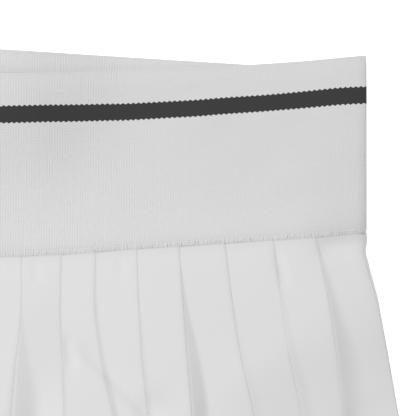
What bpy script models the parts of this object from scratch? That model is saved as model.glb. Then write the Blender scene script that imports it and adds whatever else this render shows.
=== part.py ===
"""Pleated badminton skirt, laid flat and face up on a table.

A wide woven elastic waistband laps over the top margins of two knife-pleated panels, front and back.
+X runs across the garment, +Y towards the top of the waistband and +Z up from the table. The origin is on
the table, under the middle of the garment. Every length is in metres.
"""

import math
from collections import namedtuple

import bmesh
import bpy

MM = 0.001

# Elastic waistband
WAIST_HALF = 170 * MM  # half the waist, laid flat
BAND_HEIGHT = 72 * MM  # at the middle, and about 69 at the sides
BAND_WALL = 1.2 * MM
BAND_TURN = 3.9 * MM  # how far in from the side the elastic starts to turn over
BULGE_FROM = 140 * MM  # past here the two layers part towards the turned side
JOIN_GAP = 0.3 * MM  # between the two ends of the elastic, at the centre back

# Pleated panels
SKIRT_LENGTH = 300 * MM  # from the waistband's lower edge to the hem
TOP_MARGIN = 8 * MM  # what the waistband laps over
CLOTH_WALL = 1.0 * MM
LAYER_GAP = 0.2 * MM  # between the three layers of a pleat
PLEAT_DEPTH = 8 * MM  # how far each pleat is folded under, at the seam
SEAM_SHOULDER = 2.5 * MM  # the run of a face as it comes out from under the next fold, at the seam
FOLD_CLEARANCE = 0.2 * MM
SIDE_ROUND = 2.5 * MM  # inset of the rounded side of a panel
SIDE_ANGLES = [10, 30, 60, 90]  # degrees round it, from its open edge to the outer layer

PIECE_GAP = 0.3 * MM

# How the garment is laid
SEAM_RISE = 9.8 * MM  # the waistband's lower edge, higher at the sides than at the middle
TOP_RISE = 7 * MM  # its top edge, the same way
BACK_RISE = 10.2 * MM  # the back lies this much higher than the front at the middle
BACK_SLOPE = 0.063  # how fast the back's top edge falls towards the sides
BACK_BEND = 14 * MM  # how rounded its peak is, at the middle

# The folded edges of the front, from the wearer's right to the left: where each is at the seam, at the knee
# row and at the hem, and the run of the face that comes out from under it. Millimetres.
Fold = namedtuple("Fold", "seam knee hem shoulder")
FOLDS = [
    Fold(-151.0, -161.5, -194, 3),
    Fold(-134.0, -143.0, -173, 5),
    Fold(-117.0, -124.5, -151, 3),
    Fold(-100.0, -107.0, -130, 7),
    Fold(-83.0, -88.5, -107, 3),
    Fold(-66.0, -70.0, -86, 3),
    Fold(-49.0, -53.0, -65, 6),
    Fold(-32.0, -34.5, -43, 3),
    Fold(-15.5, -17.5, -22, 3),
    Fold(1.0, -0.5, -1, 4),
    Fold(17.5, 15.0, 18, 3),
    Fold(34.0, 29.6, 39, 9),
    Fold(49.8, 50.6, 62, 3),
    Fold(63.2, 69.9, 84, 3),
    Fold(79.4, 84.5, 102, 3),
    Fold(95.6, 100.7, 122, 6),
    Fold(114.3, 125.2, 147, 3),
    Fold(133.0, 144.2, 170, 4),
    Fold(150.1, 160.0, 192, 8),
]
PANEL_SIDE = Fold(168.0, 181.5, 219, 0)

# Rows down a panel: distance below the seam, how far the folds have moved (0 where they are at the seam, 1 at
# the knee and 2 at the hem), and how far the cloth has sunk from the waistband's height to the table.
Row = namedtuple("Row", "drop spread sunk")
PANEL_ROWS = [
    Row(-TOP_MARGIN, 0, 0),
    Row(0, 0, 0),
    Row(9 * MM, 0.05, 0.5),
    Row(30 * MM, 0.4, 1),
    Row(68 * MM, 1, 1),
    Row(SKIRT_LENGTH, 2, 1),
]

# Rows up the waistband: height above its lower edge, and the distance between the mid-lines of its front and
# back layers, in the middle and at the sides. Millimetres.
BandRow = namedtuple("BandRow", "height middle side")
BAND_ROWS = [
    BandRow(0, 8.9, 8.9),
    BandRow(9.5, 8.9, 8.9),
    BandRow(20, 6.0, 7.5),
    BandRow(36, 2.4, 5.6),
    BandRow(54, 1.5, 4.5),
    BandRow(72, 1.5, 4.0),
]
BAND_STATIONS = [0, 12, 30, 55, 85, 115, 138, 149, 158]  # millimetres from the middle to where it turns
TURN_ANGLES = [90, 60, 30, 10, -10, -30, -60, -90]  # degrees, from the front layer round the side to the back

# What follows from the sizes
LAYER_STEP = CLOTH_WALL + LAYER_GAP
INNER = CLOTH_WALL / 2  # heights of a panel's three layers above its inner side
MIDDLE = INNER + LAYER_STEP
OUTER = INNER + 2 * LAYER_STEP
PANEL_THICKNESS = OUTER + CLOTH_WALL / 2
LAPPED_HEIGHT = BAND_WALL + PIECE_GAP
SEAM_Y = (SKIRT_LENGTH - BAND_HEIGHT - BACK_RISE) / 2  # the seam at the middle of the front


def smooth_step(low, high, value):
    """0 below low, 1 above high and an S-curve between them."""
    share = min(max((value - low) / (high - low), 0), 1)
    return share * share * (3 - 2 * share)


def seam_y(x):
    """The waistband's lower edge, in front."""
    return SEAM_Y + SEAM_RISE * min(abs(x) / WAIST_HALF, 1) ** 1.6


def top_y(x):
    """The waistband's top edge, in front."""
    return SEAM_Y + BAND_HEIGHT + TOP_RISE * min(abs(x) / WAIST_HALF, 1) ** 2.1


def back_shift(x):
    """How much higher the back lies than the front. Nothing at the sides, where they are one cloth."""
    back_falls = BACK_SLOPE * (math.hypot(x, BACK_BEND) - BACK_BEND)
    front_rises = top_y(x) - top_y(0)
    return (BACK_RISE - back_falls - front_rises) * (1 - smooth_step(0.72, 0.985, abs(x) / WAIST_HALF))


def fold_at(fold, row):
    """A folded edge's x at a row."""
    to_knee = (fold.knee - fold.seam) * min(row.spread, 1)
    to_hem = (fold.hem - fold.knee) * max(row.spread - 1, 0)
    return (fold.seam + to_knee + to_hem) * MM


def rounded_side(side):
    """The side of a panel as (x, height), from its open edge up and over to the outer layer."""
    middle = -PIECE_GAP / 2  # halfway between the two panels
    points = []
    for angle in SIDE_ANGLES:
        inset = SIDE_ROUND * (1 - math.cos(math.radians(angle)))
        points.append((side - inset, middle + (OUTER - middle) * math.sin(math.radians(angle))))
    return [(points[0][0], 0), *points]


def pleated_line(row):
    """A panel's mid-line at a row, from its left side to its right, as (x, height above its inner side)."""
    side = fold_at(PANEL_SIDE, row)
    turn = LAYER_STEP / 2
    line = [(-x, height) for x, height in rounded_side(side)]
    left = -fold_at(PANEL_SIDE, PANEL_ROWS[0]), -side
    for fold in FOLDS:
        at_seam, edge = fold_at(fold, PANEL_ROWS[0]), fold_at(fold, row)
        cut_width = at_seam - left[0] + 2 * PLEAT_DEPTH  # the same at every row, as in the flat cloth
        valley = edge - (cut_width - (edge - left[1])) / 2
        shoulder = SEAM_SHOULDER + (fold.shoulder * MM - SEAM_SHOULDER) * min(row.spread, 1)
        line += [
            (edge - turn, OUTER),
            (edge, (OUTER + MIDDLE) / 2),
            (edge - turn, MIDDLE),
            (valley + turn, MIDDLE),
            (valley, (MIDDLE + INNER) / 2),
            (valley + turn, INNER),
            (edge + FOLD_CLEARANCE, INNER),
            (edge + FOLD_CLEARANCE + shoulder, OUTER),
        ]
        left = at_seam, edge
    return line + rounded_side(side)[::-1]


def panel_points(is_back):
    """Rows of points on a panel's mid-surface. The back is the front turned over about the Y axis."""
    at_seam = pleated_line(PANEL_ROWS[0])
    rows = []
    for row in PANEL_ROWS:
        lift = LAPPED_HEIGHT * (1 - row.sunk)
        points = []
        for (x, height), (seam_x, _) in zip(pleated_line(row), at_seam):
            # A fold keeps its length as it leans outwards, so its end is a little higher.
            fall = math.sqrt(row.drop**2 - (x - seam_x) ** 2)
            y = seam_y(seam_x) - math.copysign(fall, row.drop)
            if is_back:
                points.append((-x, y + back_shift(seam_x), lift + PANEL_THICKNESS - height))
            else:
                points.append((x, y, lift + PANEL_THICKNESS + PIECE_GAP + height))
        rows.append(points)
    return rows


def band_loop():
    """Places round the waistband as (x, frontness), which is 1 on the front layer and 0 on the back."""
    turn_x = WAIST_HALF - BAND_WALL / 2 - BAND_TURN
    stations = [x * MM for x in BAND_STATIONS]
    turn = []
    for angle in TURN_ANGLES:
        out = BAND_TURN * math.cos(math.radians(angle))
        turn.append((turn_x + out, (1 + math.sin(math.radians(angle))) / 2))
    front = [(x, 1) for x in stations]
    back = [(x or JOIN_GAP / 2, 0) for x in reversed(stations)]
    half = front + turn + back
    return [(-x, frontness) for x, frontness in reversed(half[1:])] + half


def band_points():
    """Rows of points on the waistband's mid-surface, from one end of the elastic round to the other."""
    rows = []
    for row in BAND_ROWS:
        share = row.height * MM / BAND_HEIGHT
        points = []
        for x, frontness in band_loop():
            bulge = smooth_step(BULGE_FROM, WAIST_HALF - BAND_TURN, abs(x))
            apart = (row.middle + (row.side - row.middle) * bulge) * MM
            y = seam_y(x) + share * (top_y(x) - seam_y(x)) + (1 - frontness) * back_shift(x)
            points.append((x, y, BAND_WALL / 2 + apart * frontness))
        rows.append(points)
    return rows


def lofted(name, rows):
    """An open surface through rows of points."""
    sheet = bmesh.new()
    grid = [[sheet.verts.new(point) for point in points] for points in rows]
    for lower, upper in zip(grid, grid[1:]):
        for column in range(len(lower) - 1):
            corners = lower[column], lower[column + 1], upper[column + 1], upper[column]
            sheet.faces.new(corners)
    mesh = bpy.data.meshes.new(name)
    sheet.to_mesh(mesh)
    sheet.free()
    return mesh


def cloth(name, rows, wall, material, collection):
    """A piece of cloth: the surface through the rows, as thick as its wall and centred on the surface."""
    piece = bpy.data.objects.new(name, lofted(name, rows))
    piece.data.materials.append(material)
    collection.objects.link(piece)
    solid = piece.modifiers.new("Wall", "SOLIDIFY")
    solid.thickness = wall
    solid.offset = 0
    solid.use_even_offset = True
    return piece


def fabric(name, colour, roughness):
    material = bpy.data.materials.new(name)
    material.use_nodes = True
    shader = material.node_tree.nodes["Principled BSDF"]
    shader.inputs["Base Color"].default_value = (*colour, 1)
    shader.inputs["Roughness"].default_value = roughness
    shader.inputs["Metallic"].default_value = 0
    return material


def build():
    for old in list(bpy.data.objects):
        bpy.data.objects.remove(old)
    collection = bpy.data.collections.new("badminton_skirt")
    bpy.context.scene.collection.children.link(collection)
    elastic = fabric("elastic", (0.74, 0.74, 0.74), 0.85)
    pleat_cloth = fabric("pleat_cloth", (0.80, 0.80, 0.80), 0.7)
    cloth("waistband", band_points(), BAND_WALL, elastic, collection)
    cloth("front_panel", panel_points(False), CLOTH_WALL, pleat_cloth, collection)
    cloth("back_panel", panel_points(True), CLOTH_WALL, pleat_cloth, collection)


build()
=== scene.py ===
import math
from collections import namedtuple

import bpy
import numpy as np
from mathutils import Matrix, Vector


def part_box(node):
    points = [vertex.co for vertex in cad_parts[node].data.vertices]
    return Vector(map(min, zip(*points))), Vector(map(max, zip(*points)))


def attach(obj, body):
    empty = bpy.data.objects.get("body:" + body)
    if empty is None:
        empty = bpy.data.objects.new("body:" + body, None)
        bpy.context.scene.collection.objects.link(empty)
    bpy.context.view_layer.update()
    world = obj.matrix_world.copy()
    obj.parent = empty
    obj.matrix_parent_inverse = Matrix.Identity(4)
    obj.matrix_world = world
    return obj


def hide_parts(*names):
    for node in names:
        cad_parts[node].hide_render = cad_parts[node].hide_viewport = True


# A knife-pleated sports skirt laid flat: two pleated panels, an elastic waistband and the stitches.
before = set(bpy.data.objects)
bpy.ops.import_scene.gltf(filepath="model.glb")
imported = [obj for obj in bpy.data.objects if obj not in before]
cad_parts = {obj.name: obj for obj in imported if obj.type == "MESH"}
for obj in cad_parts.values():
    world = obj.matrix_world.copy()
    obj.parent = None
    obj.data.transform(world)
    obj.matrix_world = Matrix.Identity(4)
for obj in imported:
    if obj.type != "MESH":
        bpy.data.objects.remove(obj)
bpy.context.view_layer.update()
bandLow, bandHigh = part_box("waistband")
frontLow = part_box("front_panel")[0]
mm = 0.001
print("frame loaded")


# How the whole skirt is laid out. The frame gives its main sizes.
laid = {
    "waistHalf": bandHigh.x,
    "seamY": bandLow.y,  # the waistband's lower edge, middle front
    "bandHeight": 72 * mm,
    "skirtLength": bandLow.y - frontLow.y,
    "seamDip": 0.4 * mm,  # below the frame's edge, where the stitches pull
    "seamRise": 9.8 * mm,  # lower edge of the band, higher at the sides
    "seamPower": 1.6,
    # how the lower edge wavers on its way across, millimetres
    "waverAt": [-170, -135, -95, -60, -20, 25, 50, 75, 100, 125, 150, 170],
    "waver": [0, -0.4, 0.1, -0.5, 0.2, -0.55, -0.5, 0.1, 0.15, 0, -0.4, -0.3],
    "acrossEnd": 169.9,  # the tables across the band are read up to here
    "topRise": 7 * mm,
    "topPower": 2.1,
    "cornerRise": 0.35 * mm,
    "cornerFrom": 0.84,  # share of the half width
    "backRise": 10.6 * mm,  # the back lies higher than the front
    "backSlope": 0.063,
    "backBend": 14 * mm,
    "backMeets": (0.72, 0.985),  # share of the half width where it comes down to the front
    # share of the half width where the cloth starts to sink and to turn, at the seam and lower
    "sinkFrom": (0.84, 0.42),
    "roundFrom": (0.97, 0.84),
    "lowerDrops": (25 * mm, 85 * mm),
    "sinkEnd": 1.06,
    "roundEnd": 0.97,
    # how much it sinks, at millimetres below the seam, and above it in the band
    "sinkDrops": [-72, -30, -12, 0, 12, 35, 60, 85, 115, 300],
    "sinkShare": [0.12, 0.12, 0.24, 0.36, 0.13, 0.18, 0.55, 0.82, 0.84, 0.78],
    "sinkReach": (-71.9, 299.9),
}


def smoothStep(low, high, value):
    share = np.clip((np.asarray(value, float) - low) / (high - low), 0, 1)
    return share * share * (3 - 2 * share)


def blend(a, b, share):
    return a + (b - a) * share


def through(stations, values, at):  # a smooth line through values at stations
    stations, values = np.asarray(stations, float), np.asarray(values, float)
    slopes = np.gradient(values, stations)
    i = np.clip(np.searchsorted(stations, at, side="right") - 1, 0, len(stations) - 2)
    span = stations[i + 1] - stations[i]
    t = (at - stations[i]) / span
    return (
        (2 * t**3 - 3 * t**2 + 1) * values[i]
        + (t**3 - 2 * t**2 + t) * span * slopes[i]
        + (3 * t**2 - 2 * t**3) * values[i + 1]
        + (t**3 - t**2) * span * slopes[i + 1]
    )


def acrossShare(x):
    return np.minimum(np.abs(x) / laid["waistHalf"], 1)


def readAcross(stations, values, x):  # from a table of millimetres across the band
    return through(stations, values, np.clip(x / mm, -laid["acrossEnd"], laid["acrossEnd"])) * mm


def seamLine(x):
    rise = laid["seamRise"] * acrossShare(x) ** laid["seamPower"]
    return laid["seamY"] - laid["seamDip"] + rise + readAcross(laid["waverAt"], laid["waver"], x)


def topLine(x):
    across = acrossShare(x)
    rise = laid["topRise"] * across ** laid["topPower"]
    corner = laid["cornerRise"] * smoothStep(laid["cornerFrom"], 1, across)
    return laid["seamY"] + laid["bandHeight"] + (rise + corner)


def backShift(x):
    falls = laid["backSlope"] * (np.hypot(x, laid["backBend"]) - laid["backBend"])
    rises = topLine(x) - topLine(0)
    return (laid["backRise"] - falls - rises) * (1 - smoothStep(*laid["backMeets"], acrossShare(x)))


# the cloth lies flatter towards the sides, more so lower down
def sunk(height, x, halfWidth, drop, roundShare):
    across = np.abs(x) / halfWidth
    lower = smoothStep(*laid["lowerDrops"], drop)
    sinkFrom = blend(*laid["sinkFrom"], lower)
    roundFrom = blend(*laid["roundFrom"], lower)
    turned = np.clip((across - roundFrom) / (1 - roundFrom), 0, 1)
    sink = through(laid["sinkDrops"], laid["sinkShare"], np.clip(drop / mm, *laid["sinkReach"]))
    sink = sink * smoothStep(sinkFrom, laid["sinkEnd"], across)
    return height * (1 - sink - roundShare * (1 - np.sqrt(1 - laid["roundEnd"] * turned**2)))


# A crease runs from one place to another and fades in and out at its ends. The cloth falls by depth
# over the steep side, to the right of the line, and comes back over the gentle side. Millimetres.
Crease = namedtuple("Crease", "fromX fromY toX toY steep gentle depth")
creaseFades = (0.25, 0.7)  # share of its length where it is all there, and where it starts to go


def creased(x, y, creases):
    drop = np.zeros(np.broadcast(x, y).shape)
    for crease in creases:
        start = np.array([crease.fromX, crease.fromY]) * mm
        run = np.array([crease.toX, crease.toY]) * mm - start
        length = np.hypot(*run)
        along = ((x - start[0]) * run[0] + (y - start[1]) * run[1]) / length**2
        right = ((x - start[0]) * run[1] - (y - start[1]) * run[0]) / length
        ends = smoothStep(0, creaseFades[0], along) * (1 - smoothStep(creaseFades[1], 1, along))
        steep, gentle = crease.steep * mm, crease.gentle * mm
        fall = smoothStep(0, steep, right) * (1 - smoothStep(steep, steep + gentle, right))
        drop += crease.depth * mm * fall * ends
    return drop


# points[row][column], and each one's place on the flat cut as UV, in metres
def gridMesh(name, points, cut):
    rows, columns = points.shape[:2]
    index = np.arange(rows * columns).reshape(rows, columns)
    corners = [index[:-1, :-1], index[:-1, 1:], index[1:, 1:], index[1:, :-1]]
    quads = np.stack(corners, -1).reshape(-1, 4)
    mesh = bpy.data.meshes.new(name)
    mesh.from_pydata(points.reshape(-1, 3).tolist(), [], quads.tolist())
    layer = mesh.uv_layers.new(name="cut")
    layer.data.foreach_set("uv", cut.reshape(-1, 2)[quads.ravel()].ravel())
    return mesh


def addPiece(name, mesh):
    piece = bpy.data.objects.new(name, mesh)
    bpy.context.scene.collection.objects.link(piece)
    return piece


def settled(piece):  # modifiers become plain mesh
    graph = bpy.context.evaluated_depsgraph_get()
    mesh = bpy.data.meshes.new_from_object(piece.evaluated_get(graph))
    mesh.name = piece.name
    piece.modifiers.clear()
    piece.data = mesh
    return piece


sharpAngle = 55  # degrees: edges that turn more stay sharp


# a wall round the points: thick is 1 where it is whole, and 0 where it keeps the thin share
def clothPiece(name, points, cut, wall, material, thin, thick):
    piece = addPiece(name, gridMesh(name, points, cut))
    piece.data.materials.append(material)
    solid = piece.modifiers.new("wall", "SOLIDIFY")
    solid.thickness = wall
    solid.offset = 0
    group = piece.vertex_groups.new(name="thick")
    for i in np.flatnonzero(thick.ravel() > 0):
        group.add([int(i)], float(thick.ravel()[i]), "REPLACE")
    solid.vertex_group = "thick"
    solid.thickness_vertex_group = thin
    settled(piece)
    piece.vertex_groups.clear()
    piece.data.shade_smooth()
    piece.data.set_sharp_from_angle(angle=math.radians(sharpAngle))
    return piece


def newMaterial(name, roughness, sheen, sheenRoughness=0.5, specular=0.25):
    material = bpy.data.materials.new(name)
    material.use_nodes = True
    shader = material.node_tree.nodes["Principled BSDF"]
    shader.inputs["Roughness"].default_value = roughness
    shader.inputs["Sheen Weight"].default_value = sheen
    shader.inputs["Sheen Roughness"].default_value = sheenRoughness
    shader.inputs["Specular IOR Level"].default_value = specular
    return material, shader


class Nodes:  # short ways to add and join shader nodes
    def __init__(self, material):
        self.tree = material.node_tree

    def add(self, kind, **settings):
        node = self.tree.nodes.new(kind)
        for name, value in settings.items():
            setattr(node, name, value)
        return node

    def feed(self, socket, value):
        if isinstance(value, bpy.types.NodeSocket):
            self.tree.links.new(value, socket)
        else:
            socket.default_value = value

    def math(self, operation, *values):
        node = self.add("ShaderNodeMath", operation=operation)
        for socket, value in zip(node.inputs, values):
            self.feed(socket, value)
        return node.outputs[0]

    def mix(self, share, a, b):
        node = self.add("ShaderNodeMix", data_type="RGBA")
        self.feed(node.inputs["Factor"], share)
        self.feed(node.inputs[6], a)
        self.feed(node.inputs[7], b)
        return node.outputs[2]

    def cutPlace(self):  # along and up the cut, in metres
        uv = self.add("ShaderNodeUVMap", uv_map="cut")
        split = self.add("ShaderNodeSeparateXYZ")
        self.feed(split.inputs[0], uv.outputs[0])
        return split.outputs[0], split.outputs[1]

    def wave(self, place, pitch):  # 0 to 1 and back in each pitch
        turns = self.math("MULTIPLY", place, 2 * math.pi / pitch)
        return self.math("MULTIPLY_ADD", self.math("SINE", turns), 0.5, 0.5)

    def noise(self, vector, scale, detail):
        node = self.add("ShaderNodeTexNoise")
        self.feed(node.inputs["Vector"], vector)
        self.feed(node.inputs["Scale"], scale)
        self.feed(node.inputs["Detail"], detail)
        return node.outputs["Fac"]

    def ramp(self, value, low, high, atLow, atHigh):
        names = ("Value", "From Min", "From Max", "To Min", "To Max")
        node = self.add("ShaderNodeMapRange", interpolation_type="SMOOTHSTEP")
        for name, given in zip(names, (value, low, high, atLow, atHigh)):
            self.feed(node.inputs[name], given)
        return node.outputs["Result"]

    def grain(self, place, scales, detail):  # noise with a scale along the cut and one up it
        join = self.add("ShaderNodeCombineXYZ")
        self.feed(join.inputs[0], self.math("MULTIPLY", place[0], scales[0]))
        self.feed(join.inputs[1], self.math("MULTIPLY", place[1], scales[1]))
        return self.noise(join.outputs[0], 1.0, detail)

    def bump(self, height, distance, strength):
        node = self.add("ShaderNodeBump")
        self.feed(node.inputs["Height"], height)
        self.feed(node.inputs["Distance"], distance)
        self.feed(node.inputs["Strength"], strength)
        return node.outputs[0]


def grey(value):
    return (value, value, value, 1)


elasticLook = {
    "white": (0.678, 0.678, 0.678, 1),
    "charcoal": (0.0395, 0.0395, 0.0395, 1),
    "roughness": 0.85,
    "sheen": 0.1,
    "ribPitch": 1.02 * mm,
    "pickPitch": 1.13 * mm,
    "pickDepth": (0.8, 0.3),  # in a patch, and added everywhere
    "ribDepth": 0.10 * mm,
    "ribAcross": (65 * mm, 115 * mm),  # from the centre line
    "ribFade": (1.75, 0.85),  # ribs show less towards the sides
    "ribPatch": (-0.5, 1.15),  # and less in a patch
    "ribBroken": (0.3, 1.15),
    "fleckRelief": 0.6,
    "reliefStrength": 0.42,
    # grain: scale along the cut and up it
    "fleckGrain": (900, 500),
    "patchGrain": (130, 130),
    "broadGrain": (60, 90),
    "brokenGrain": (480, 520),
    "patchEdges": (0.35, 0.65),  # the grain's values where a patch begins and is whole
    "brokenEdges": (0.3, 0.7),
    # shade: how much it varies, and its least; in the grooves it is painted shade
    "groovePaintedShade": (0.022, 0.972),
    "fleckShade": (0.05, 0.975),
    "broadShade": (0.02, 0.99),
    # stitches pull the ribs apart above the lower edge, less and less, with painted shade in strokes
    # between them
    "pulled": (1.1 * mm, 2.4 * mm),
    "pulledPaintedShade": 0.9,
    "strokePitch": 1.0 * mm,
    "strokeSharp": 2.5,
    "strokeSway": 3.0 * mm,
    "swayGrain": (420, 150),
    "strokeGrain": (1400, 300),
    "stitchedShare": 0.22,
    # the stripe, in shares of the band's height
    "stripeMiddle": 0.7745,
    "stripeHalf": 0.0462,
    "stripeSide": 1.035,  # times as much at the sides
    "stripeAcross": (136 * mm, 158 * mm),
    "toothPitch": 2.05 * mm,
    "toothShare": 0.0042,
}


def makeElastic():
    look = elasticLook
    material, shader = newMaterial("elasticRib", look["roughness"], look["sheen"])
    n = Nodes(material)
    place = n.cutPlace()
    along, up = place
    height = n.math("DIVIDE", up, laid["bandHeight"])
    sideways = n.math("PINGPONG", along, laid["waistHalf"])  # from the centre line
    rib = n.wave(along, look["ribPitch"])
    pick = n.wave(up, look["pickPitch"])
    fleck = n.grain(place, look["fleckGrain"], 3)
    patch = n.ramp(n.grain(place, look["patchGrain"], 1), *look["patchEdges"], 0, 1)
    broad = n.grain(place, look["broadGrain"], 2)
    # stripe with toothed edges
    teeth = n.math("PINGPONG", along, look["toothPitch"] / 2)
    tooth = n.math("MULTIPLY", teeth, look["toothShare"] * 4 / look["toothPitch"])
    away = n.math("ABSOLUTE", n.math("SUBTRACT", height, look["stripeMiddle"]))
    reach = n.math("ADD", away, tooth)
    sideHalf = look["stripeHalf"] * look["stripeSide"]
    half = n.ramp(sideways, *look["stripeAcross"], look["stripeHalf"], sideHalf)
    inside = n.math("LESS_THAN", reach, n.math("ADD", half, look["toothShare"]))
    # painted shade in the grooves between ribs, and in strokes beside the stitches
    groove = n.math("MULTIPLY_ADD", n.math("MULTIPLY", rib, pick), *look["groovePaintedShade"])
    nearEdge = n.ramp(up, *look["pulled"], 1, 0)
    sway = n.grain(place, look["swayGrain"], 1)
    swayed = n.math("MULTIPLY_ADD", sway, look["strokeSway"], along)
    strokes = n.math("POWER", n.wave(swayed, look["strokePitch"]), look["strokeSharp"])
    uneven = n.grain(place, look["strokeGrain"], 1)
    strokes = n.math("MULTIPLY", strokes, n.math("MULTIPLY", uneven, uneven))
    pulled = n.math("MULTIPLY", nearEdge, strokes)
    tone = n.math("SUBTRACT", groove, n.math("MULTIPLY", pulled, look["pulledPaintedShade"]))
    tone = n.math("MULTIPLY", tone, n.math("MULTIPLY_ADD", fleck, *look["fleckShade"]))
    tone = n.math("MULTIPLY", tone, n.math("MULTIPLY_ADD", broad, *look["broadShade"]))
    stitched = n.math("MULTIPLY", nearEdge, look["stitchedShare"])
    plain = n.mix(tone, grey(0), n.mix(stitched, look["white"], grey(1)))
    dark = n.mix(tone, grey(0), look["charcoal"])
    n.feed(shader.inputs["Base Color"], n.mix(inside, plain, dark))
    # relief of the ribs, broken here and there, and of the picks across them
    ribShare = n.ramp(sideways, *look["ribAcross"], *look["ribFade"])
    ribShare = n.math("MULTIPLY", ribShare, n.math("MULTIPLY_ADD", patch, *look["ribPatch"]))
    broken = n.grain(place, look["brokenGrain"], 1)
    broken = n.ramp(broken, *look["brokenEdges"], *look["ribBroken"])
    ribs = n.math("MULTIPLY", rib, n.math("MULTIPLY", ribShare, broken))
    picks = n.math("MULTIPLY", pick, n.math("MULTIPLY_ADD", patch, *look["pickDepth"]))
    flecks = n.math("MULTIPLY", fleck, look["fleckRelief"])
    relief = n.math("ADD", n.math("ADD", ribs, picks), flecks)
    n.feed(shader.inputs["Normal"], n.bump(relief, look["ribDepth"], look["reliefStrength"]))
    return material


pleatLook = {
    "white": (0.742, 0.742, 0.742, 1),
    "roughness": 0.7,
    "sheen": 0.15,
    "yarnGrain": (1500, 260),  # scale along the cut and up it
    "crossGrain": (260, 1500),
    "broadGrain": (45, 25),
    # how much the shade varies, and its least
    "broadShade": (0.02, 0.985),
    "yarnShade": (0.015, 0.993),
    "weaveDepth": 0.03 * mm,
    "reliefStrength": 0.5,
    "seamPaintedShadow": 0.085,  # painted contact shadow, darker just below the stitches under the band's edge
    "seamPaintedShadowTo": 1.35 * mm,
}


def makePleatCloth():
    look = pleatLook
    material, shader = newMaterial("pleatCloth", look["roughness"], look["sheen"])
    n = Nodes(material)
    place = n.cutPlace()
    yarn = n.grain(place, look["yarnGrain"], 2)
    cross = n.grain(place, look["crossGrain"], 2)
    broad = n.grain(place, look["broadGrain"], 2)
    tone = n.math("MULTIPLY_ADD", broad, *look["broadShade"])
    tone = n.math("MULTIPLY", tone, n.math("MULTIPLY_ADD", yarn, *look["yarnShade"]))
    # painted contact shadow on the cloth just below the band's lower edge
    seam = n.ramp(place[1], -look["seamPaintedShadowTo"], 0, 1, 1 - look["seamPaintedShadow"])
    tone = n.math("MULTIPLY", tone, seam)
    n.feed(shader.inputs["Base Color"], n.mix(tone, grey(0), look["white"]))
    relief = n.math("ADD", yarn, cross)
    n.feed(shader.inputs["Normal"], n.bump(relief, look["weaveDepth"], look["reliefStrength"]))
    return material


threadLook = {
    "white": (0.9, 0.9, 0.905, 1),
    "roughness": 0.6,
    "sheen": 0.2,
    "twistScale": 2500,
    "twistShade": (0.12, 0.9),
}


def makeThread():
    look = threadLook
    material, shader = newMaterial("sewingThread", look["roughness"], look["sheen"])
    n = Nodes(material)
    place = n.add("ShaderNodeTexCoord").outputs["Object"]
    twist = n.noise(place, look["twistScale"], 1)
    tone = n.math("MULTIPLY_ADD", twist, *look["twistShade"])
    n.feed(shader.inputs["Base Color"], n.mix(tone, grey(0), look["white"]))
    return material


elastic = makeElastic()
pleatCloth = makePleatCloth()
thread = makeThread()
print("materials made")


panel = {
    "wall": 0.16 * mm,  # at the hem, where it is turned up
    "wallShare": 0.35,  # elsewhere
    "hemTurn": 11 * mm,
    "topMargin": 7.5 * mm,
    "pleatDepth": 8 * mm,  # folded under, at the seam
    "foldRadius": 0.03 * mm,
    "valleyRadius": 0.12 * mm,
    "foldDip": 0.045 * mm,  # a face bends down this much at its fold, over this run
    "dipRun": 1.0 * mm,
    "softDip": 0.2 * mm,  # and more where the fold has gone soft
    "softRun": 1.2 * mm,
    "crestRun": 4,  # times the crest
    "nearSeam": 0.85,  # folds are pressed flatter there
    "nearSeamDrops": (4 * mm, 24 * mm),
    "atSeam": 3.22 * mm,  # height of a face above the panel's inner side, at the seam
    "atSeamDrop": 2.5 * mm,
    "top": 2.96 * mm,  # and just below it
    "low": 0.25 * mm,  # its least height
    "sideTop": 0.9 * mm,  # height at the side, lower down
    "sideTopDrops": (22 * mm, 80 * mm),
    "sideTuck": 0.15 * mm,  # the side turns in as far as this
    "sideRound": (1.8 * mm, 0.6 * mm),  # at the seam and lower
    "sideRoundDrop": 30 * mm,
    "sideFlat": (0.2, 0.07),  # share of the height lost in turning, at the seam and lower
    "innerFront": 3.7 * mm,  # height above the table of the front's inner side
    "innerBack": 3.2 * mm,
    "lapLift": 1.9 * mm,  # both panels lie higher at the seam, and on the table from sinkBelow
    "lapPress": 0.4,  # flatter towards the top edge, inside the band
    "lapPressRise": 6 * mm,
    "sinkBelow": 100 * mm,
    "settleBelow": 50 * mm,  # the folds have come to their own heights
    "midSlack": 0.76,  # share of a hollow's depth part way down
    "slackDrops": (40 * mm, 68 * mm),
    "climbEases": 0.35,  # a face climbs less and less towards its fold
    "stepEases": 0.35,
    "openDrop": 66,  # drop where the pleats have opened, millimetres
    "opensOver": 30,  # least drop over which one opens
    "shutGap": 0.3 * mm,  # of a pleat that has not opened
    "shutTurn": 0.4 * mm,
    "turnMost": 1.9,  # times the gap
    "faintFrom": (16 * mm, 26 * mm),
    "faintTo": (40 * mm, 50 * mm),
    "creaseFrom": 4 * mm,  # creases fade in below the seam, and out beside the sides
    "creaseSide": 2 * mm,
    "outerLeast": 0.08 * mm,  # the back lies flat on the table
}

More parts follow.
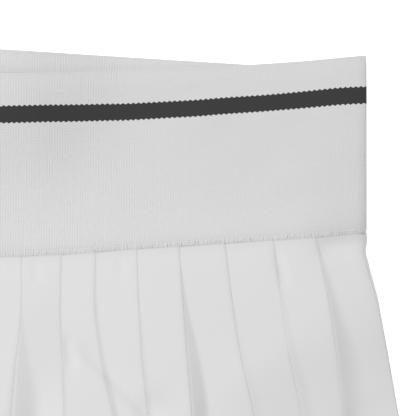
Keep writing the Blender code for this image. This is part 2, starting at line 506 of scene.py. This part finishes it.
# Folded edges of the front, from the wearer's right to the left, in millimetres. Below the seam a
# pleat may open: the cloth falls away beside its fold into a hollow, and turns up again to the next.
# seam to hem: x of the fold at each drop
# opens: drop where it starts
# kneeGap, hemGap: width of the fall
# deep: how far it falls
# turn: how round its bottom is
# height: of the fold itself
# soft: how soft it has gone, 0 to 1
# step: from the fold down to the face that comes out from under it
# crest: how far the fold bends down
# faint: how far it is pressed flat part way down, 0 to 1
foldDrops = [0, 22, 45, 68, 170, 300]
kneeDrop, hemDrop = foldDrops[3], foldDrops[5]
foldSizes = "opens kneeGap hemGap deep turn height soft step crest faint"
Fold = namedtuple("Fold", "seam high mid knee low hem " + foldSizes)
folds = [
    Fold(-151.0, -154.8, -158.3, -161.5, -176.0, -194, 34, 3.0, 6, 0.9, 4, 1.9, 0.0, 0.08, 0.06, 0),
    Fold(-134.0, -137.0, -140.2, -143.0, -156.0, -173, 8, 5.5, 8, 1.7, 5, 2.7, 0.2, 0.10, 0.12, 0),
    Fold(-117.0, -119.2, -122.2, -124.5, -136.5, -151, 55, 2.0, 4, 0.4, 3, 1.9, 0.0, 0.07, 0.03, 0),
    Fold(-100.0, -102.8, -104.7, -107.0, -117.0, -130, 6, 7.5, 9, 2.5, 3, 3.1, 0.0, 0.12, 0.06, 0),
    Fold(-83.0, -84.4, -86.8, -88.5, -96.0, -107, 40, 2.5, 4, 0.4, 3, 1.6, 0.0, 0.08, 0.06, 0),
    Fold(-66.0, -66.8, -68.7, -70.0, -76.5, -86, 60, 2.0, 5, 0.3, 3, 2.4, 0.1, 0.10, 0.12, 0),
    Fold(-49.0, -50.8, -51.8, -53.0, -58.0, -65, 12, 6.0, 8, 2.2, 4, 3.0, 0.7, 0.08, 0.03, 0),
    Fold(-32.0, -32.6, -33.7, -34.5, -38.0, -43, 50, 2.0, 3, 0.3, 3, 1.7, 0.0, 0.07, 0.06, 0),
    Fold(-15.5, -16.5, -17.0, -17.5, -19.0, -22, 25, 3.0, 4, 0.7, 3, 2.4, 0.0, 0.10, 0.09, 0),
    Fold(1.0, 0.3, -0.2, -0.5, -0.6, -1, 14, 4.5, 6, 1.3, 4, 2.8, 0.2, 0.08, 0.03, 0),
    Fold(17.5, 16.8, 15.8, 15.0, 15.5, 18, 60, 2.0, 3, 0.2, 3, 2.5, 0.0, 0.07, 0.06, 0),
    Fold(34.0, 33.8, 31.3, 29.4, 31.5, 39, 17, 10.0, 10, 2.35, 6, 3.1, 1.0, 0.03, 0.05, 0),
    Fold(49.8, 49.3, 50.2, 50.6, 54.5, 62, 0, 1.0, 3, 0.12, 2, 2.0, 0.0, 0.03, 0.07, 0),
    Fold(63.2, 62.9, 65.8, 70.7, 76.5, 84, -15, 1.8, 4, 0.47, 2, 2.6, 0.0, 0.05, 0.1, 0),
    Fold(79.4, 80.2, 81.6, 83.9, 91.0, 102, -5, 1.4, 4, 0.25, 2, 2.8, 0.0, 0.06, 0.05, 0),
    Fold(96.2, 97.6, 99.4, 101.2, 110.0, 122, 3, 6.2, 7, 2.2, 3, 3.1, 0.0, 0.10, 0.10, 0),
    Fold(114.4, 117.0, 120.6, 125.6, 134.5, 147, 10, 2.5, 4, 0.15, 3, 2.4, 0.0, 0.08, 0.10, 0),
    Fold(133.4, 136.2, 139.5, 144.2, 156.0, 170, 2, 4.0, 6, 0.3, 3, 2.5, 0.0, 0.06, 0.03, 0.8),
    Fold(150.1, 154.5, 158.0, 160.5, 174.5, 192, -8, 6.6, 9, 2.35, 7, 3.2, 0.0, 0.06, 0.05, 0),
]
# x of the side at each drop, millimetres
sideDrops = [0, 0.7, 3, 7.7, 10.1, 12.4, 14.8, 21.9, 26.7, 33, 45.6, 68, 170, 300]
sideLine = [169.85, 170.3, 170.5, 170.0, 170.4, 171.05, 171.6]
sideLine += [173.45, 174.7, 175.9, 178.2, 182.1, 199.2, 219.3]

frontCreases = [
    Crease(87, 38, 50, 75.6, 2.6, 9, 0.75),
    Crease(89, 20, 73, 52, 8, 18, 0.85),
    Crease(51.0, 62, 49.9, 80, 1.6, 5, 0.27),
    Crease(38, 97, 36.6, 110.5, 2.0, 4.5, 0.22),
    Crease(71, 99, 69.6, 111, 2.2, 4.0, 0.2),
    Crease(136, 114, 141, 96, 2.0, 4.0, 0.4),
    Crease(147, 117.5, 178, 120, 1.5, 12, 0.8),
    Crease(163, 18, 159, 54, 5.5, 22, 0.5),
    Crease(-58, 100, -74, 66, 5, 9, 0.5),
    Crease(-122, 108, -128, 88, 3, 6, 0.45),
    Crease(8, 60, -6, 10, 6, 12, 0.5),
    Crease(-100, 20, -84, -60, 7, 12, 0.6),
    Crease(92, 20, 112, -50, 7, 12, 0.6),
    Crease(30, -20, 38, -110, 7, 12, 0.5),
]

backCreases = [  # these rise off the table
    Crease(-92, 88, -70, 52, 3, 9, 0.4),
    Crease(-30, 70, -44, 20, 4, 10, 0.35),
    Crease(24, 104, 30, 82, 2, 5, 0.3),
    Crease(66, 60, 88, 30, 2, 9, 0.45),
    Crease(120, 100, 132, 64, 3, 7, 0.35),
    Crease(-128, 10, -118, -70, 6, 12, 0.4),
    Crease(52, -30, 44, -120, 6, 12, 0.4),
    Crease(4, 10, 12, -60, 5, 11, 0.35),
]

# where the cloth has points: in the fall, in the turn at its bottom, from there to the fold,
# and under the fold as (across, down)
gapMarks = (0.25, 0.5)
turnMarks = (-0.5, -0.25, 0, 0.25, 0.5)
faceMarks = (0.1, 0.2, 0.3, 0.4, 0.5, 0.6, 0.7, 0.8, 0.87, 0.93, 0.97, 1)
underMarks = [(0.3, 0.216), (0.65, 0.718)]


def foldX(fold, drop):
    values = [fold.seam, fold.high, fold.mid, fold.knee, fold.low, fold.hem]
    return float(through(foldDrops, values, drop / mm)) * mm


def arc(middleX, middleH, radius, start, end, count):
    turns = np.radians(np.linspace(start, end, count))
    return [(middleX + radius * math.cos(a), middleH + radius * math.sin(a)) for a in turns]


def summed(slopes, width):  # heights reached by following the slopes over the width
    middles = (slopes[1:] + slopes[:-1]) / 2
    return np.concatenate([[0], np.cumsum(middles)]) * width / (len(slopes) - 1)


# across is measured from the fold on the left: the face falls over the gap, then climbs to its fold
def faceHeights(across, width, gap, turn, fall, startH, endH):
    fine = np.linspace(0, width, 121)
    rising = smoothStep(gap - turn / 2, gap + turn / 2, fine)
    down = summed(1 - rising, width)
    up = summed(rising * (1 - panel["climbEases"] * fine / width), width)
    drop = fall / max(down[-1], 1e-6)
    climb = (endH - startH + drop * down[-1]) / up[-1]
    return np.interp(across, fine, startH - drop * down + climb * up)


# one row of the cloth, as (x, height above the inner side), from side to side and round every fold
def pleatLine(drop):
    p = panel
    low, r, v = p["low"], p["foldRadius"], p["valleyRadius"]
    below = float(np.clip((drop / mm - kneeDrop) / (hemDrop - kneeDrop), 0, 1))
    settle = float(smoothStep(0, p["settleBelow"], drop))
    sharp = blend(p["nearSeam"], 1, float(smoothStep(*p["nearSeamDrops"], drop)))
    faint = float(smoothStep(*p["faintFrom"], drop) * (1 - smoothStep(*p["faintTo"], drop)))
    slack = blend(p["midSlack"], 1, float(smoothStep(*p["slackDrops"], drop)))
    top = blend(p["atSeam"], p["top"], float(smoothStep(0, p["atSeamDrop"], drop)))
    # the side, where the cloth turns down to the other panel
    side = (float(through(sideDrops, sideLine, drop / mm)) if drop > 0 else sideLine[0]) * mm
    sideTop = blend(top, p["sideTop"], float(smoothStep(*p["sideTopDrops"], drop)))
    sideRound = blend(*p["sideRound"], float(smoothStep(0, p["sideRoundDrop"], drop)))
    curl = []
    for a in np.radians(np.linspace(0, 90, 8)):
        h = blend(-p["sideTuck"], sideTop, math.sin(a))
        curl.append((side - sideRound * (1 - math.cos(a)), h))
    line = [(-x, h) for x, h in curl]
    startX, startH, seamFrom, leftEdge = -side + sideRound, sideTop, -sideLine[0] * mm, -side
    gap, turn, fall = p["shutGap"], p["shutTurn"], 0
    ends = [foldX(fold, max(drop, 0)) for fold in folds] + [side - sideRound]
    for i, edge in enumerate(ends):
        # the face that shows: falling beside the fold on its left, then up to its own fold
        last = i == len(folds)
        stop = edge if last else edge - r
        width = stop - startX
        endH = sideTop if last else blend(top, folds[i].height * mm, settle)
        turn = min(turn, p["turnMost"] * gap)
        marks = [gap * t for t in gapMarks] + [gap + turn * t for t in turnMarks]
        marks += [blend(marks[-1], width, t) for t in faceMarks]
        across = np.sort(marks)
        height = faceHeights(across, width, gap, turn, fall, startH, endH)
        if last:
            line += list(zip(startX + across, height))[:-1]
            break
        fold = folds[i]
        soft = fold.soft * float(smoothStep(fold.opens, p["openDrop"], drop / mm))
        crisp = sharp * (1 - faint * fold.faint)
        dip = (p["foldDip"] + soft * p["softDip"] + fold.crest * mm) * crisp
        dipRun = p["dipRun"] + soft * p["softRun"] + p["crestRun"] * fold.crest * mm
        height = height - dip * np.clip((across - width + dipRun) / dipRun, 0, 1) ** 2
        endH = height[-1]
        line += list(zip(startX + across, height))
        # round the fold, back under it to the valley, and out again as the next face
        cutWidth = fold.seam * mm - seamFrom + 2 * p["pleatDepth"]
        valley = edge - (cutWidth - (edge - leftEdge)) / 2
        openDrop = max(p["openDrop"], fold.opens + p["opensOver"])
        opened = float(smoothStep(fold.opens, openDrop, drop / mm))
        nextH = max(endH - fold.step * mm * (1 - p["stepEases"] * opened) * crisp, low)
        line += arc(stop, endH - r, r, 40, -90, 4)
        under = endH - 2 * r
        line += [(blend(stop, valley + v, q), blend(under, low + 2 * v, t)) for q, t in underMarks]
        line += arc(valley + v, low + v, v, 90, 270, 4)
        line += [(blend(edge, valley + v, q), blend(nextH, low, t)) for q, t in underMarks[::-1]]
        line.append((edge, nextH))
        # how the next face falls
        gap = blend(p["shutGap"], blend(fold.kneeGap, fold.hemGap, below) * mm, opened)
        turn = blend(p["shutTurn"], fold.turn * mm, opened)
        fall = min(fold.deep * mm * opened * slack, nextH - low)
        startX, startH, seamFrom, leftEdge = edge, nextH, fold.seam * mm, edge
    return line + curl[::-1]


def panelRows():  # drop of each row of the cloth, closer together near the seam
    hemTop = laid["skirtLength"] - panel["hemTurn"]
    lap = np.linspace(-panel["topMargin"], 0, 4)
    near = np.linspace(0, 12 * mm, 9)[1:]
    fine = np.linspace(12 * mm, 75 * mm, 36)[1:]
    far = np.linspace(75 * mm, hemTop, 23)[1:]
    hem = hemTop + np.array([0.3, 3.5, 7.5, 11]) * mm
    return np.concatenate([lap, near, fine, far, hem])


def panelSurface(isBack, creases):
    lines = np.array([pleatLine(drop) for drop in panelRows()])
    drops = panelRows()[:, None]
    x, h = lines[:, :, 0], lines[:, :, 1]
    h = h * (1 - panel["lapPress"] * smoothStep(0, -panel["lapPressRise"], drops))
    seamX = x[3][None, :]  # the row at the seam
    fall = np.sqrt(np.maximum(drops**2 - (x - seamX) ** 2, 0))
    y = seamLine(seamX) - np.copysign(fall, drops)
    half = x.max(axis=1)[:, None]
    lift = panel["lapLift"] * (1 - smoothStep(0, panel["sinkBelow"], drops))
    if isBack:
        y = y + backShift(seamX)
        z = lift + np.maximum(panel["innerBack"] - h, panel["outerLeast"])
    else:
        z = lift + panel["innerFront"] + h
    sideFlat = blend(*panel["sideFlat"], smoothStep(0, panel["sideRoundDrop"], drops))
    z = sunk(z, x, half, drops, sideFlat)
    kept = smoothStep(0, panel["creaseFrom"], drops)
    kept = kept * smoothStep(0, panel["creaseSide"], half - np.abs(x))
    creaseSide = 1 if isBack else -1
    z = z + creaseSide * creased(x, y, creases) * kept
    z = np.maximum(z, panel["outerLeast"])
    # place on the flat cut
    steps = np.hypot(np.diff(x[3]), np.diff(h[3]))
    along = np.concatenate([[0], np.cumsum(steps)])
    cut = np.stack(np.broadcast_arrays(along[None, :], -drops), -1)
    points = np.stack([-x if isBack else x, y, z], -1)
    thick = (drops > laid["skirtLength"] - panel["hemTurn"]) * np.ones_like(x)
    return points, cut, thick


def makePanel(name, node, isBack, creases):
    points, cut, thick = panelSurface(isBack, creases)
    piece = clothPiece(name, points, cut, panel["wall"], pleatCloth, panel["wallShare"], thick)
    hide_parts(node)
    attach(piece, "root")
    print(name, len(piece.data.polygons), "faces")
    return piece, points


frontPanel, frontPoints = makePanel("skirtFront", "front_panel", False, frontCreases)
backPanel = makePanel("skirtBack", "back_panel", True, backCreases)[0]


band = {
    "wall": 0.75 * mm,
    "turn": 0.4 * mm,  # inset of the turned side
    "spread": 0.4 * mm,  # past the frame's side
    "join": 0.02 * mm,  # between the ends of the elastic, at the centre back
    "backHeight": 0.6 * mm,  # of the back layer's middle above the table
    "edgeShare": 0.12,  # of the wall, at the lower edge
    "topWeight": 0.12,  # of the thinning, at the top edge
    "clear": 0.14 * mm,  # least gap between the layers
    # the back layer lifts where it comes out above the front, and falls again towards its own edge
    "backLift": 0.55 * mm,
    "liftOut": 3 * mm,  # how far it comes out for the whole lift
    "liftRise": (-0.4 * mm, 1.7 * mm),  # above the front's edge
    "liftFall": (0.2, 1.1),  # share of the way to its own edge
    "liftLost": 0.95,
    "liftLeast": 1 * mm,  # least width that the fall is worked out from
    # how far apart the middles of the two layers are, at heights above the lower edge, millimetres
    "heights": [0, 0.9, 2, 5, 9, 14, 20, 28, 38, 50, 63, 72],
    "apart": [8.22, 8.31, 8.28, 7.8, 6.7, 5.4, 4.3, 3.3, 2.5, 1.85, 1.2, 0.6],
    "sideExtra": 0.6 * mm,  # the layers part at the turned sides
    "sideExtraFrom": (0.82, 0.98),  # share of the half width
    "sideExtraUp": (10 * mm, 40 * mm),
    "sideFlat": 0.02,
    # both layers rise off the table towards the top edge, over this stretch across
    "wave": (4.0 * mm, 4.2 * mm),  # back and front
    "waveFrom": (-80 * mm, 5 * mm),
    "waveTo": (25 * mm, 78 * mm),
    "waveUp": (24 * mm, 66 * mm),
    # the stripe and the weave are drawn up or down on their way across, millimetres
    "drawnAt": [-170, -120, -70, -20, 27, 46, 55, 65, 74]
    + [84, 93, 103, 112, 131, 141, 150, 160, 168],
    "drawn": [0.3, -0.2, 0.3, -0.2, 0.05, 0.1, -0.05, -0.18, -0.4]
    + [-0.36, -0.28, -0.25, 0, 0.14, 0.32, 0.48, 0.48, 0.1],
    "drawnWhole": (0.6, 0.84),  # share of the height from and to which they are drawn in full
    "creasesUp": 14 * mm,  # creases fade in over this, above the lower edge
    "thinUp": 1.6 * mm,  # the wall is thin at the lower edge and whole from here
    "thinDown": 6 * mm,  # and a little thinner again from here to the top edge
    "columns": 56,
    "rows": 40,
    "rimRow": 0.7 * mm,
}

bandCreases = [
    Crease(37, 122, 33, 226, 24, 70, 1.05),
    Crease(-70, 120, -74, 196, 26, 50, 1.0),
    Crease(120, 178, 150, 150, 12, 30, 0.35),
    Crease(-150, 150, -120, 178, 20, 20, 0.4),
]


def bandLoop():  # (x, frontness) round the elastic, from one end to the other
    turnX = laid["waistHalf"] - band["wall"] / 2 - band["turn"] + band["spread"]
    front = [(x, 1.0) for x in np.linspace(0, turnX, band["columns"])]
    turn = []
    for a in np.radians(np.linspace(90, -90, 17))[1:-1]:
        turn.append((turnX + band["turn"] * math.cos(a), (1 + math.sin(a)) / 2))
    back = [(x, 0.0) for x in np.linspace(turnX, band["join"] / 2, band["columns"])]
    half = front + turn + back
    return np.array([(-x, f) for x, f in reversed(half[1:])] + half)


def bandThickness(up):  # 1 for the whole wall, 0 for the thin share at the lower edge
    top = smoothStep(0, band["thinDown"], laid["bandHeight"] - up)
    return smoothStep(0, band["thinUp"], up) * blend(band["topWeight"], 1, top)


def bandWall(up):
    return band["wall"] * blend(band["edgeShare"], 1, bandThickness(up))


# frontness is 0 on the back layer and 1 on the front, and up is from the lower edge
def bandPoint(x, frontness, up):
    share = up / laid["bandHeight"]
    shift = backShift(x)
    y = seamLine(x) + share * (topLine(x) - seamLine(x)) + (1 - frontness) * shift
    wholeFrom, wholeTo = band["drawnWhole"]
    drawn = readAcross(band["drawnAt"], band["drawn"], x)
    y = y + drawn * smoothStep(0, wholeFrom, share) * (1 - smoothStep(wholeTo, 1, share))
    apart = through(band["heights"], band["apart"], up / mm) * mm
    sides = smoothStep(*band["sideExtraFrom"], acrossShare(x)) * band["sideExtra"]
    apart = apart + sides * smoothStep(*band["sideExtraUp"], up)
    z = band["backHeight"] + apart * frontness
    shows = smoothStep(0, band["liftOut"], shift) * (1 - frontness)
    beyond = y - topLine(x)
    fallShare = beyond / np.maximum(shift, band["liftLeast"])
    falls = 1 - band["liftLost"] * smoothStep(*band["liftFall"], fallShare)
    z = z + band["backLift"] * shows * smoothStep(*band["liftRise"], beyond) * falls
    z = sunk(z, x, laid["waistHalf"], -up, band["sideFlat"])
    z = z - creased(x, y, bandCreases) * frontness * smoothStep(0, band["creasesUp"], up)
    least = band["backHeight"] + frontness * ((band["wall"] + bandWall(up)) / 2 + band["clear"])
    wave = smoothStep(*band["waveFrom"], x) * (1 - smoothStep(*band["waveTo"], x))
    wave = wave * blend(*band["wave"], frontness)
    z = np.maximum(z, least) + wave * smoothStep(*band["waveUp"], up)
    return np.stack(np.broadcast_arrays(x, y, z), -1)


def makeBand():
    loop = bandLoop()
    ups = np.linspace(0, laid["bandHeight"], band["rows"])
    ups = np.sort(np.concatenate([ups, [band["rimRow"], laid["bandHeight"] - band["rimRow"]]]))
    points = bandPoint(loop[None, :, 0], loop[None, :, 1], ups[:, None])
    middle = points[len(ups) // 2][:, [0, 2]]
    steps = np.linalg.norm(np.diff(middle, axis=0), axis=1)
    along = np.concatenate([[0], np.cumsum(steps)])
    cut = np.stack(np.broadcast_arrays(along[None, :], ups[:, None]), -1)
    thick = bandThickness(ups)[:, None] * np.ones_like(points[:, :, 0])
    piece = clothPiece("elasticBand", points, cut, band["wall"], elastic, band["edgeShare"], thick)
    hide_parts("waistband")
    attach(piece, "root")
    print("elasticBand", len(piece.data.polygons), "faces,", round(along[-1], 3), "m round")
    return piece, along[-1]


bandPiece, bandRound = makeBand()


zigzag = {
    "pitch": 2.0 * mm,
    "from": 0.3 * mm,  # above the band's lower edge
    "to": 1.8 * mm,
    "threadRadius": 0.09 * mm,
    "proud": -0.03 * mm,  # of the elastic's outer side
    "offTable": 1.05,  # least height of the thread's middle, times its radius
    "slopeStep": 0.3 * mm,  # up the band, to find which way its side faces
    "sides": 6,  # of the thread
    # over the ends of the elastic
    "joinWidth": 4.5 * mm,
    "joinEnds": (2 * mm, 1.5 * mm),  # from the lower and the top edge
    "joinPoints": 30,
}


def newGroup(name, sizes):  # a tree with named inputs for the line, its sizes and its thread
    group = bpy.data.node_groups.new(name, "GeometryNodeTree")
    socket = group.interface.new_socket
    socket("Geometry", in_out="INPUT", socket_type="NodeSocketGeometry")
    for label in sizes:
        socket(label, in_out="INPUT", socket_type="NodeSocketFloat")
    socket("Thread", in_out="INPUT", socket_type="NodeSocketMaterial")
    socket("Geometry", in_out="OUTPUT", socket_type="NodeSocketGeometry")
    return group


def addNode(group, kind, **settings):
    node = group.nodes.new(kind)
    for name, value in settings.items():
        setattr(node, name, value)
    return node


# a line becomes a zigzag thread: each point moves to and fro along its "across" direction
def zigzagGroup():
    group = newGroup("zigzagThread", ["Pitch", "Height", "Thread radius"])
    link = group.links.new
    given = addNode(group, "NodeGroupInput")
    made = addNode(group, "NodeGroupOutput")
    curve = addNode(group, "GeometryNodeMeshToCurve")
    link(given.outputs["Geometry"], curve.inputs["Mesh"])
    halfPitch = addNode(group, "ShaderNodeMath", operation="MULTIPLY")
    link(given.outputs["Pitch"], halfPitch.inputs[0])
    halfPitch.inputs[1].default_value = 0.5
    spaced = addNode(group, "GeometryNodeResampleCurve", mode="LENGTH")
    link(curve.outputs["Curve"], spaced.inputs["Curve"])
    link(halfPitch.outputs[0], spaced.inputs["Length"])
    number = addNode(group, "GeometryNodeInputIndex")
    odd = addNode(group, "ShaderNodeMath", operation="MODULO")
    link(number.outputs[0], odd.inputs[0])
    odd.inputs[1].default_value = 2
    sign = addNode(group, "ShaderNodeMath", operation="SUBTRACT")
    link(odd.outputs[0], sign.inputs[0])
    sign.inputs[1].default_value = 0.5
    reach = addNode(group, "ShaderNodeMath", operation="MULTIPLY")
    link(sign.outputs[0], reach.inputs[0])
    link(given.outputs["Height"], reach.inputs[1])
    across = addNode(group, "GeometryNodeInputNamedAttribute", data_type="FLOAT_VECTOR")
    across.inputs["Name"].default_value = "across"
    shift = addNode(group, "ShaderNodeVectorMath", operation="SCALE")
    link(across.outputs["Attribute"], shift.inputs[0])
    link(reach.outputs[0], shift.inputs["Scale"])
    moved = addNode(group, "GeometryNodeSetPosition")
    link(spaced.outputs["Curve"], moved.inputs["Geometry"])
    link(shift.outputs[0], moved.inputs["Offset"])
    ring = addNode(group, "GeometryNodeCurvePrimitiveCircle")
    ring.inputs["Resolution"].default_value = zigzag["sides"]
    link(given.outputs["Thread radius"], ring.inputs["Radius"])
    tube = addNode(group, "GeometryNodeCurveToMesh")
    link(moved.outputs["Geometry"], tube.inputs["Curve"])
    link(ring.outputs["Curve"], tube.inputs["Profile Curve"])
    tube.inputs["Fill Caps"].default_value = True
    whole = addNode(group, "GeometryNodeRealizeInstances")
    link(tube.outputs["Mesh"], whole.inputs["Geometry"])
    painted = addNode(group, "GeometryNodeSetMaterial")
    link(whole.outputs["Geometry"], painted.inputs["Geometry"])
    link(given.outputs["Thread"], painted.inputs["Material"])
    link(painted.outputs["Geometry"], made.inputs["Geometry"])
    return group


def runLine(name, runs, across=None):  # polylines, each an array of points
    vertices, edges = [], []
    for run in runs:
        first = len(vertices)
        vertices += [tuple(point) for point in run]
        edges += [(first + i, first + i + 1) for i in range(len(run) - 1)]
    mesh = bpy.data.meshes.new(name)
    mesh.from_pydata(vertices, edges, [])
    if across is not None:
        layer = mesh.attributes.new("across", "FLOAT_VECTOR", "POINT")
        layer.data.foreach_set("vector", np.concatenate(across).astype(np.float32).ravel())
    return addPiece(name, mesh)


def sewn(piece, group, values):  # runs the tree on the line and keeps the plain mesh
    modifier = piece.modifiers.new("stitching", "NODES")
    modifier.node_group = group
    for item in group.interface.items_tree:
        if item.item_type == "SOCKET" and item.in_out == "INPUT" and item.name in values:
            modifier[item.identifier] = values[item.name]
    settled(piece)
    piece.data.shade_smooth()
    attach(piece, "root")
    print(piece.name, len(piece.data.polygons), "faces")
    return piece


def outerSide(loop, up):  # places on the outside of the elastic, at one height round it
    x, frontness = loop.T
    here = bandPoint(x, frontness, up)
    slope = bandPoint(x, frontness, up + zigzag["slopeStep"]) - here
    normal = np.cross(slope, np.gradient(here, axis=0))
    normal /= np.linalg.norm(normal, axis=1)[:, None]
    inTurn = (frontness > 0.001) & (frontness < 0.999)
    outwards = np.stack([np.sign(x) * inTurn, 0 * x, 2 * frontness - 1], -1)
    normal *= np.where((normal * outwards).sum(1) < 0, -1, 1)[:, None]
    return here + normal * (bandWall(up) / 2 + zigzag["proud"])


def makeSeamStitches():
    loop = bandLoop()
    low, high = (outerSide(loop, up) for up in (zigzag["from"], zigzag["to"]))
    line, across = (low + high) / 2, high - low
    least = zigzag["threadRadius"] * zigzag["offTable"] + np.abs(across[:, 2]) / 2
    line[:, 2] = np.maximum(line[:, 2], least)
    return sewn(runLine("seamZigzag", [line], [across]), zigzagThread, zigzagValues)


def makeJoinStitches():  # over the ends of the elastic, on its inner side at the centre back
    fromLow, fromTop = zigzag["joinEnds"]
    ups = np.linspace(fromLow, laid["bandHeight"] - fromTop, zigzag["joinPoints"])
    line = bandPoint(0 * ups, 0 * ups, ups)
    line[:, 2] += bandWall(ups) / 2 - zigzag["proud"]
    across = np.tile([zigzag["joinWidth"], 0, 0], (len(ups), 1))
    return sewn(runLine("joinZigzag", [line], [across]), zigzagThread, zigzagValues)


zigzagThread = zigzagGroup()
zigzagValues = {
    "Pitch": zigzag["pitch"],
    "Height": 1.0,  # times the width that "across" gives
    "Thread radius": zigzag["threadRadius"],
    "Thread": thread,
}
seamStitches = makeSeamStitches()
joinStitches = makeJoinStitches()


hemStitch = {
    "aboveEdge": 9.6 * mm,
    "pitch": 2.9 * mm,
    "length": 2.0 * mm,
    "threadRadius": 0.1 * mm,
    "proud": 0.3,  # times its radius
    "inset": 0.6 * mm,  # from a fold
    # columns of the front's mesh: where the first face starts, from one to the next, and on each
    "firstColumn": 8,
    "nextColumn": 32,
    "faceColumns": 19,
    # of each stitch
    "segments": 6,
    "rings": 4,
}


def dashGroup():  # a line becomes a row of short stitches along it
    group = newGroup("dashedThread", ["Pitch", "Length", "Thread radius"])
    link = group.links.new
    given = addNode(group, "NodeGroupInput")
    made = addNode(group, "NodeGroupOutput")
    curve = addNode(group, "GeometryNodeMeshToCurve")
    link(given.outputs["Geometry"], curve.inputs["Mesh"])
    spots = addNode(group, "GeometryNodeCurveToPoints", mode="LENGTH")
    link(curve.outputs["Curve"], spots.inputs["Curve"])
    link(given.outputs["Pitch"], spots.inputs["Length"])
    aimed = addNode(group, "FunctionNodeAlignEulerToVector", axis="Z")
    link(spots.outputs["Tangent"], aimed.inputs["Vector"])
    stitch = addNode(group, "GeometryNodeMeshUVSphere")
    stitch.inputs["Segments"].default_value = hemStitch["segments"]
    stitch.inputs["Rings"].default_value = hemStitch["rings"]
    halfLength = addNode(group, "ShaderNodeMath", operation="MULTIPLY")
    link(given.outputs["Length"], halfLength.inputs[0])
    halfLength.inputs[1].default_value = 0.5
    size = addNode(group, "ShaderNodeCombineXYZ")
    link(given.outputs["Thread radius"], size.inputs[0])
    link(given.outputs["Thread radius"], size.inputs[1])
    link(halfLength.outputs[0], size.inputs[2])
    rows = addNode(group, "GeometryNodeInstanceOnPoints")
    link(spots.outputs["Points"], rows.inputs["Points"])
    link(stitch.outputs["Mesh"], rows.inputs["Instance"])
    link(aimed.outputs["Rotation"], rows.inputs["Rotation"])
    link(size.outputs[0], rows.inputs["Scale"])
    whole = addNode(group, "GeometryNodeRealizeInstances")
    link(rows.outputs["Instances"], whole.inputs["Geometry"])
    painted = addNode(group, "GeometryNodeSetMaterial")
    link(whole.outputs["Geometry"], painted.inputs["Geometry"])
    link(given.outputs["Thread"], painted.inputs["Material"])
    link(painted.outputs["Geometry"], made.inputs["Geometry"])
    return group


def makeHemStitches():
    drops = panelRows()
    drop = laid["skirtLength"] - hemStitch["aboveEdge"]
    row = int(np.searchsorted(drops, drop)) - 1
    share = (drop - drops[row]) / (drops[row + 1] - drops[row])
    line = blend(frontPoints[row], frontPoints[row + 1], share)
    line[:, 2] += panel["wall"] / 2 + hemStitch["threadRadius"] * hemStitch["proud"]
    inset = hemStitch["inset"]
    runs = []
    for i in range(len(folds) + 1):
        first = hemStitch["firstColumn"] + i * hemStitch["nextColumn"]
        face = line[first : first + hemStitch["faceColumns"]]
        x = face[:, 0]
        runs.append(face[(x > x[0] + inset) & (x < x[-1] - inset)])
    values = {
        "Pitch": hemStitch["pitch"],
        "Length": hemStitch["length"],
        "Thread radius": hemStitch["threadRadius"],
        "Thread": thread,
    }
    return sewn(runLine("hemStitches", runs), dashGroup(), values)


hemStitches = makeHemStitches()
lookAt = (107.5 * mm, 127.7 * mm)
studio = {
    "aim": (*lookAt, 8 * mm),
    "frameWidth": 164.3 * mm,
    "lens": 400,
    "sensor": 36,
    "clip": (0.05, 20),
    "worldStrength": 0.394,
    "keyPlace": (-1.71, 0.854, 1.0),
    "keyAim": (*lookAt, 0),
    "keySize": 0.95,
    "keyPower": 24.5,
    "overPlace": (-0.05, 0.32, 1.15),
    "overAim": (-0.05, 0.32, 0),
    "overSize": 0.6,
    "overPower": 5.66,
    "floorSize": 6,
    "floorDrop": 0.2 * mm,
    "floorShade": 0.95,
    "floorRoughness": 0.9,
    "floorGlow": 0.55,
}


def makeCamera():
    camera = bpy.data.objects.new("camera", bpy.data.cameras.new("camera"))
    camera.data.lens = studio["lens"]
    camera.data.sensor_width = studio["sensor"]
    camera.data.clip_start, camera.data.clip_end = studio["clip"]
    x, y, z = studio["aim"]
    camera.location = (x, y, z + studio["frameWidth"] * studio["lens"] / studio["sensor"])
    bpy.context.scene.collection.objects.link(camera)
    bpy.context.scene.camera = camera


def makeLights():
    world = bpy.data.worlds.new("studio")
    bpy.context.scene.world = world
    world.use_nodes = True
    background = world.node_tree.nodes["Background"]
    background.inputs["Color"].default_value = grey(1)
    background.inputs["Strength"].default_value = studio["worldStrength"]
    for name in ("key", "over"):
        light = bpy.data.lights.new(name, "AREA")
        light.shape = "SQUARE"
        light.size = studio[name + "Size"]
        light.energy = studio[name + "Power"]
        lamp = bpy.data.objects.new(name, light)
        lamp.location = studio[name + "Place"]
        aim = Vector(studio[name + "Aim"]) - lamp.location
        lamp.rotation_euler = aim.to_track_quat("-Z", "Y").to_euler()
        lamp.visible_camera = False
        bpy.context.scene.collection.objects.link(lamp)


def makeFloor():
    half, z = studio["floorSize"] / 2, -studio["floorDrop"]
    corners = [(-half, -half, z), (half, -half, z), (half, half, z), (-half, half, z)]
    mesh = bpy.data.meshes.new("floor")
    mesh.from_pydata(corners, [], [(0, 1, 2, 3)])
    floor = addPiece("floor", mesh)
    material, shader = newMaterial("paleFloor", studio["floorRoughness"], 0)
    shader.inputs["Base Color"].default_value = grey(studio["floorShade"])
    shader.inputs["Emission Color"].default_value = grey(1)
    shader.inputs["Emission Strength"].default_value = studio["floorGlow"]
    mesh.materials.append(material)


makeCamera()
makeLights()
makeFloor()
bpy.context.scene.view_settings.view_transform = "Standard"
print("camera, lights and floor made")
